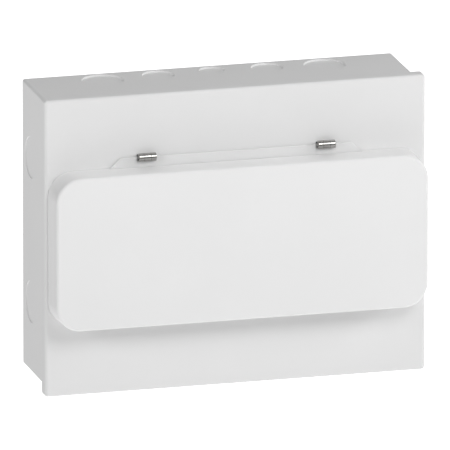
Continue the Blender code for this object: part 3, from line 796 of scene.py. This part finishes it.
def front_cover():
    low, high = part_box("front_cover")
    cover = pan("cover_panel", low, high, 1, COVER_BEND, SHEET)
    front, inner = COVER_FRONT - MM, COVER_FRONT + SHEET + MM
    cutters = [rounded_hole((-WINDOW_X, front, -WINDOW_Z), (WINDOW_X, inner, WINDOW_Z), WINDOW_CORNER)]
    for side in (-1, 1):
        half = BARREL_LENGTH / 2 + 0.5 * MM
        slot_low = (side * HINGE_X - half, front, HINGE_Z + HINGE_SLOT[0])
        slot_high = (side * HINGE_X + half, inner, HINGE_Z + HINGE_SLOT[1])
        cutters.append(rounded_hole(slot_low, slot_high, HINGE_SLOT_CORNER))
        for row in (-1, 1):
            at = (side * COVER_SCREW_X, COVER_FRONT, row * COVER_SCREW_Z)
            cutters.append(rod_bm(SCREW_HOLE, 6 * MM, at, "Y", 32))
    boolean(cover, cutters)
    return settle(weigh_normals(shade(cover)), "front_cover")


def door():
    """The drawn door: a rounded rectangle that tapers towards its face, with a soft edge."""
    depth = DOOR_REAR - DOOR_FRONT
    bm = bmesh.new()
    bmesh.ops.create_cube(bm, size=1.0)
    bmesh.ops.scale(bm, vec=(DOOR_RIM[0], depth, DOOR_RIM[1]), verts=bm.verts)
    along_y = [e for e in bm.edges if abs(e.verts[0].co.y - e.verts[1].co.y) > depth / 2]
    bmesh.ops.bevel(
        bm, geom=along_y, offset=DOOR_CORNER, segments=28, profile=0.5, affect="EDGES"
    )
    rear = [f for f in bm.faces if f.normal.y > 0.9]
    bmesh.ops.delete(bm, geom=rear, context="FACES_ONLY")
    face_verts = [v for v in bm.verts if v.co.y < 0.0]
    taper = (DOOR_FACE[0] / DOOR_RIM[0], 1.0, DOOR_FACE[1] / DOOR_RIM[1])
    bmesh.ops.scale(bm, vec=taper, verts=face_verts)
    rim = [e for e in bm.edges if all(v.co.y < 0.0 for v in e.verts)]
    bmesh.ops.bevel(bm, geom=rim, offset=DOOR_EDGE, segments=8, profile=0.5, affect="EDGES")
    bmesh.ops.translate(bm, vec=(0.0, (DOOR_REAR + DOOR_FRONT) / 2, 0.0), verts=bm.verts)
    shell = link("door_shell", mesh_from(bm, "door_shell"))
    thicken(shell, DOOR_SHEET)
    half = FLANGE_HALF + FLANGE_CLEARANCE
    gap = cube_bm(
        (-half, DOOR_REAR - FLANGE_CUT_BACK, DOOR_RIM[1] / 2 - 5 * MM),
        (half, DOOR_REAR + MM, DOOR_RIM[1] / 2 + 3 * MM),
    )
    boolean(shell, [gap])
    # The door takes the lighter copy of the coat, which paints its face brighter than the cover.
    return settle(weigh_normals(shade(shell)), "door", DOOR_COAT_PAINTED_BRIGHTER)


def from_cad(node):
    """The CAD node's own shape, with its triangles merged back into whole faces."""
    bm = bmesh.new()
    bm.from_mesh(frame["nodes"][node].data)
    bmesh.ops.remove_doubles(bm, verts=bm.verts, dist=1e-6)
    bmesh.ops.dissolve_limit(
        bm, angle_limit=math.radians(1.0), verts=bm.verts[:], edges=bm.edges[:]
    )
    return bm


def refined(name, node, width=0.3 * MM, segments=2, angle=38.0):
    """A CAD node's shape with its edges rounded, in place of the node."""
    obj = link(name, mesh_from(from_cad(node), name))
    soften(obj, width, segments, angle)
    return settle(weigh_normals(obj), node)


# ---------------------------------------------------------------- hinges and screws


def turned(name, profile, centre, axis, segments=48):
    """A solid of revolution: (radius, along) points turned about an axis through the centre."""
    bm = spun_bm(profile, segments)
    move(bm, Matrix.Translation(centre) @ TURN[axis])
    return link(name, mesh_from(bm, name))


def rolled_tube(name, length, centre):
    """A knuckle with softened ends; a second ring by each end keeps the barrel's shading straight."""
    half, edge, hold = length / 2, 0.12 * MM, 0.18 * MM
    outer = BARREL_RADIUS
    end = [(BARREL_BORE, -half), (outer - edge, -half), (outer - 0.3 * edge, -half + 0.3 * edge)]
    end += [(outer, -half + edge), (outer, -half + hold)]
    profile = end + [(radius, -along) for radius, along in reversed(end)] + [end[0]]
    return turned(name, profile, centre, "X", 56)


def hinge(side):
    end = "left" if side < 0 else "right"
    x = side * HINGE_X
    centre = (x, HINGE_Y, HINGE_Z)
    knuckle = rolled_tube(f"door_knuckle_{end}", CENTRE_KNUCKLE + CENTRE_KNUCKLE_EXTRA, centre)
    settle(shade(knuckle), f"hinge_knuckle_{end}")
    outer_length = (BARREL_LENGTH - CENTRE_KNUCKLE) / 2 - GAP
    offset = (BARREL_LENGTH - outer_length) / 2
    low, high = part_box(f"hinge_bracket_{end}")
    plate = cube_bm((low[0], high[1] - SHEET, HINGE_Z - HINGE_PLATE_BELOW), high, 0.3 * MM)
    bracket = link(f"hinge_plate_{end}", mesh_from(plate, "plate"))
    for way in (-1, 1):
        knuckle_x = x + way * offset
        leg_half = outer_length / 2 - 0.1 * MM
        leg = cube_bm(
            (knuckle_x - leg_half, HINGE_Y + HINGE_LEG_BEHIND, HINGE_Z + HINGE_LEG_RISE[0]),
            (knuckle_x + leg_half, high[1] - 0.2 * MM, HINGE_Z + HINGE_LEG_RISE[1]),
        )
        tube = rolled_tube("tube", outer_length, (knuckle_x, HINGE_Y, HINGE_Z))
        boolean(bracket, [leg], "UNION")
        boolean(bracket, [taken(tube)], "UNION")
    settle(shade(bracket), f"hinge_bracket_{end}")
    half = PIN_LENGTH / 2
    dome = [(0.0, -half), (0.6 * PIN_RADIUS, -half + 0.08 * MM), (PIN_RADIUS, -half + 0.5 * MM)]
    profile = dome + [(radius, -along) for radius, along in reversed(dome)]
    settle(shade(turned(f"pivot_pin_{end}", profile, centre, "X", 32)), f"hinge_pin_{end}")


def screw(name, node, head_radius, head_height):
    """A domed pan head with a cross recess, on a threaded shank."""
    low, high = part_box(node)
    x, z = (low[0] + high[0]) / 2, (low[2] + high[2]) / 2
    face = low[1] + head_height
    length = high[1] - face
    shank, pitch = SHANK_RADIUS, THREAD_PITCH
    profile = [(0.0, head_height), (0.45 * head_radius, 0.96 * head_height)]
    profile += [(0.75 * head_radius, 0.82 * head_height), (0.92 * head_radius, 0.60 * head_height)]
    profile += [(head_radius, 0.32 * head_height), (0.98 * head_radius, 0.05 * head_height)]
    profile += [(0.95 * head_radius, 0.0), (shank, 0.0)]
    for index in range(int((length - THREAD_RUN_OUT) / pitch)):
        crest = -0.5 * MM - index * pitch
        profile += [(shank, crest), (shank - THREAD_DEPTH, crest - pitch / 2)]
    profile += [(shank - 0.1 * MM, -length + 0.7 * MM), (0.5 * shank, -length), (0.0, -length)]
    obj = turned(name, profile, (x, face, z), "Y", 40)
    arm, wide = RECESS_ARM * head_radius, RECESS_HALF_WIDTH * head_radius
    deep = RECESS_DEPTH * head_height
    top = low[1] - 0.2 * MM
    bottom = low[1] + deep
    across = cube_bm((x - arm, top, z - wide), (x + arm, bottom, z + wide))
    down = cube_bm((x - wide, top, z - arm), (x + wide, bottom, z + arm))
    centre = rod_bm(1.7 * wide, deep, (x, low[1] + deep / 2 - 0.1 * MM, z), "Y", 24)
    boolean(obj, [across])
    boolean(obj, [down])
    boolean(obj, [centre])
    return settle(shade(obj), node)


# ---------------------------------------------------------------- devices


def device(name, node, modules, lever_width):
    """A modular device: moulded body, nose details, terminal wells and rail hooks."""
    low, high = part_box(node)
    x = (low[0] + high[0]) / 2
    hook = RAIL_Z + 0.3 * MM
    lip = RAIL_Z - HOOK_GRIP
    behind = RAIL_FACE + RAIL_SHEET + GAP
    rear = RAIL_FACE + FOOT_DEPTH
    upper = [(NOSE_FRONT, NOSE_Z), (SHOULDER, NOSE_Z), (SHOULDER, DEVICE_Z)]
    upper += [(DEVICE_REAR, DEVICE_Z), (DEVICE_REAR, FOOT_Z), (rear, FOOT_Z), (rear, lip)]
    upper += [(behind, lip), (behind, hook), (RAIL_FACE - GAP, hook)]
    points = upper + [(y, -z) for y, z in reversed(upper)]
    body = link(name, mesh_from(prism_bm(points, low[0], high[0], "X"), name))
    soften(body, 0.45 * MM, 3)
    before = NOSE_FRONT - MM
    half_slot = lever_width / 2 + SLOT_CLEARANCE
    slot = cube_bm(
        (x - half_slot, before, -SLOT_Z),
        (x + half_slot, LEVER_Y + LEVER_DRUM + 0.6 * MM, SLOT_Z),
        0.5 * MM,
    )
    half_rebate = half_slot + REBATE_BORDER
    rebate = cube_bm(
        (x - half_rebate, before, -REBATE_Z),
        (x + half_rebate, NOSE_FRONT + REBATE_DEPTH, REBATE_Z),
        0.3 * MM,
    )
    boolean(body, [rebate])
    boolean(body, [slot])
    plate = cube_bm(
        (low[0] + PLATE_INSET, before, PLATE_SPAN[0]),
        (high[0] - PLATE_INSET, NOSE_FRONT + PLATE_DEPTH, PLATE_SPAN[1]),
        0.2 * MM,
    )
    boolean(body, [plate])
    wells = []
    wide, deep = TERMINAL_HALF
    for module in range(modules):
        well_x = x + (module - (modules - 1) / 2) * MODULE
        for row in (-1, 1):
            bottom, top = sorted((row * (DEVICE_Z - TERMINAL_DEPTH), row * (DEVICE_Z + MM)))
            well_low = (well_x - wide, TERMINAL_Y - deep, bottom)
            well_high = (well_x + wide, TERMINAL_Y + deep, top)
            wells.append(cube_bm(well_low, well_high, 0.8 * MM))
            screw_at = (well_x, SHOULDER, row * TERMINAL_SCREW_Z)
            wells.append(rod_bm(TERMINAL_SCREW, 12 * MM, screw_at, "Y", 32))
    boolean(body, wells)
    return body, x


def breakers():
    """Eight alike: the case is made once, and each breaker gets its own copy, flag pane and lever."""
    body, x = device("breaker_case_1", "breaker_1", 1, LEVER_WIDTH)
    half_flag = FLAG_HALF + FLAG_EDGE
    flag = cube_bm(
        (x - half_flag, NOSE_FRONT - MM, FLAG_SPAN[0] - FLAG_EDGE),
        (x + half_flag, NOSE_FRONT + 0.5 * MM, FLAG_SPAN[1] + FLAG_EDGE),
    )
    boolean(body, [flag])
    weigh_normals(shade(body))
    for number in range(1, 9):
        offset = Vector(((number - 1) * MODULE, 0.0, 0.0))
        mesh = body.data.copy()
        mesh.transform(Matrix.Translation(offset))
        case = link(f"breaker_case_{number}_moulding", mesh)
        settle(case, f"breaker_{number}")
        window = cube_bm(
            (x - FLAG_HALF, NOSE_FRONT + 0.05 * MM, FLAG_SPAN[0]),
            (x + FLAG_HALF, NOSE_FRONT + 0.45 * MM, FLAG_SPAN[1]),
            0.15 * MM,
        )
        move(window, Matrix.Translation(offset))
        pane = shade(link(f"breaker_flag_{number}", mesh_from(window, "flag")))
        pane.data.materials.append(WINDOW)
        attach(pane, "enclosure")
        lever(f"breaker_toggle_{number}", f"breaker_lever_{number}", LEVER_WIDTH)
    bpy.data.objects.remove(body)


def wide_devices():
    """The residual-current switch and the main switch, two modules each."""
    for node, name, width, lever_node, lever_name in (
        ("rcd", "rcd_case", LEVER_WIDTH, "rcd_lever", "rcd_toggle_grip"),
        ("main_switch", "main_switch_case", HANDLE_WIDTH, "main_switch_lever", "main_switch_handle"),
    ):
        body = device(name, node, 2, width)[0]
        if node == "rcd":
            low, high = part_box("rcd_test_button")
            button_x = (low[0] + high[0]) / 2
            well = cube_bm(
                (button_x - BUTTON_WELL, NOSE_FRONT - MM, -BUTTON_WELL),
                (button_x + BUTTON_WELL, NOSE_FRONT + BUTTON_WELL_DEPTH, BUTTON_WELL),
            )
            boolean(body, [well])
        settle(weigh_normals(shade(body)), node)
        lever(lever_name, lever_node, width)


def lever(name, node, width):
    """A lever on its drum, with rounded edges and grip grooves, turned down to off."""
    low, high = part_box(node)
    x = (low[0] + high[0]) / 2
    rod = rod_bm(LEVER_DRUM, width, (x, LEVER_Y, 0.0), "X", 56, 0.3 * MM)
    drum = link(name, mesh_from(rod, name))
    half = width / 2 - 0.1 * MM
    inner, outer = PADDLE_ROOT, PADDLE_TIP
    root = LEVER_DRUM - 2 * MM
    level = [(-root, inner), (-LEVER_REACH + outer, outer)]
    for step in range(1, 8):
        turn = math.pi * step / 8
        level.append((-LEVER_REACH + outer - outer * math.sin(turn), outer * math.cos(turn)))
    level += [(-LEVER_REACH + outer, -outer), (-root, -inner)]
    sine, cosine = math.sin(LEVER_REST), math.cos(LEVER_REST)
    points = [(LEVER_Y + y * cosine - z * sine, y * sine + z * cosine) for y, z in level]
    paddle = link("paddle", mesh_from(prism_bm(points, x - half, x + half, "X"), "paddle"))
    soften(paddle, 0.3 * MM, 3, 50.0)
    boolean(drum, [taken(paddle)], "UNION")
    grooves = []
    for index in range(GROOVES):
        y = -LEVER_REACH + FIRST_GROOVE + index * GROOVE_PITCH
        surface = outer + (inner - outer) * (y + LEVER_REACH) / (LEVER_REACH - root)
        for way in (-1, 1):
            z = way * (surface + 0.05 * MM)
            at = (x, LEVER_Y + y * cosine - z * sine, y * sine + z * cosine)
            grooves.append(rod_bm(GROOVE_RADIUS, width - 1.6 * MM, at, "X", 10))
    boolean(drum, grooves)
    return settle(shade(drum), node)


def test_button():
    """The residual-current switch's test button, its face dished."""
    low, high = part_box("rcd_test_button")
    button = link("test_push", mesh_from(cube_bm(low, high, 0.5 * MM, 4), "test_push"))
    middle = (Vector(low) + Vector(high)) / 2
    dish = bmesh.new()
    bmesh.ops.create_uvsphere(dish, u_segments=40, v_segments=24, radius=BUTTON_DISH_RADIUS)
    dish_y = low[1] - BUTTON_DISH_RADIUS + BUTTON_DISH_DEPTH
    move(dish, Matrix.Translation((middle.x, dish_y, middle.z)))
    boolean(button, [dish])
    return settle(weigh_normals(shade(button)), "rcd_test_button")


# ---------------------------------------------------------------- build

back_box()
front_cover()
door()
refined("door_hinge_angle", "door_hinge_flange", 0.5 * MM, 4)
for side in (-1, 1):
    hinge(side)
for end in ("left", "right"):
    refined(f"cover_angle_{end}", f"cover_bracket_{end}", 0.25 * MM)
    refined(f"rail_standoff_{end}", f"rail_bracket_{end}", 0.25 * MM)
    screw(f"rail_fixing_{end}", f"rail_screw_{end}", 3.8 * MM, 2.2 * MM)
    for height in ("top", "bottom"):
        screw(f"cover_fixing_{height}_{end}", f"cover_screw_{height}_{end}", 4.2 * MM, 2.6 * MM)
    refined(f"neutral_holder_{end}", f"neutral_bar_foot_{end}", 0.6 * MM, 3)
    refined(f"earth_standoff_{end}", f"earth_bar_foot_{end}", 0.4 * MM, 3)
refined("mounting_rail", "din_rail", 0.2 * MM)
breakers()
wide_devices()
test_button()
refined("comb_bar", "busbar_comb", 0.25 * MM)
refined("comb_channel", "busbar_shroud", 0.25 * MM)
refined("neutral_block", "neutral_bar", 0.2 * MM)
refined("earth_block", "earth_bar", 0.2 * MM)
refined("earth_post", "earth_stud", 0.2 * MM)
refined("earth_hexagon", "earth_nut", 0.25 * MM)

for node, obj in frame["nodes"].items():
    obj.data.materials.clear()
    obj.data.materials.append(FINISH[SLOT_OF[node]])
